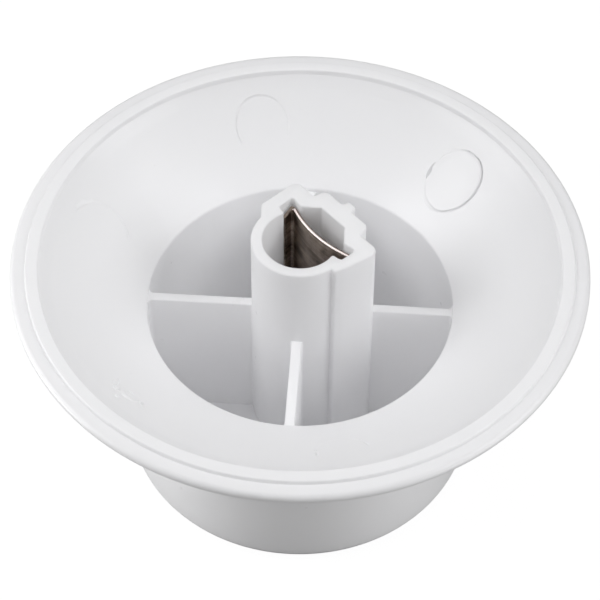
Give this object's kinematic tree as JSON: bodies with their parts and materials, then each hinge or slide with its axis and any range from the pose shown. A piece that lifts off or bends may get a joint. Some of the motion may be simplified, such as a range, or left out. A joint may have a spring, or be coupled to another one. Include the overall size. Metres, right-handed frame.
{
  "type": "control knob",
  "caption": "Round push-on control knob: cup-shaped grip, flared skirt with a beaded rim, webbed centre stem with a D-shaped shaft socket and a bowed spring-steel leaf.",
  "frame": {"origin": "centre of the flat front face, which is the face the knob lies on", "axes": "+Z along the shaft axis from the front face to the socket mouth; +X the way the leaf gives when a shaft is pushed in; the four webs stand on the diagonals between X and Y"},
  "size_m": [0.05, 0.05, 0.0258],
  "materials": {
    "moulding": "glossy white injection moulding, faint blue-grey cast, smooth",
    "spring_steel": "warm brown-grey tempered spring steel strip, sheared bright edges"
  },
  "bodies": {
    "knob": {"knob_body": "moulding"},
    "clip": {"spring_clip": "spring_steel"}
  },
  "joints": [
    {"name": "clip_flex", "type": "slide", "parent": "knob", "child": "clip", "axis": [1, 0, 0], "range_m": [0, 0.0003], "stiffness_N_per_m": 60}
  ]
}
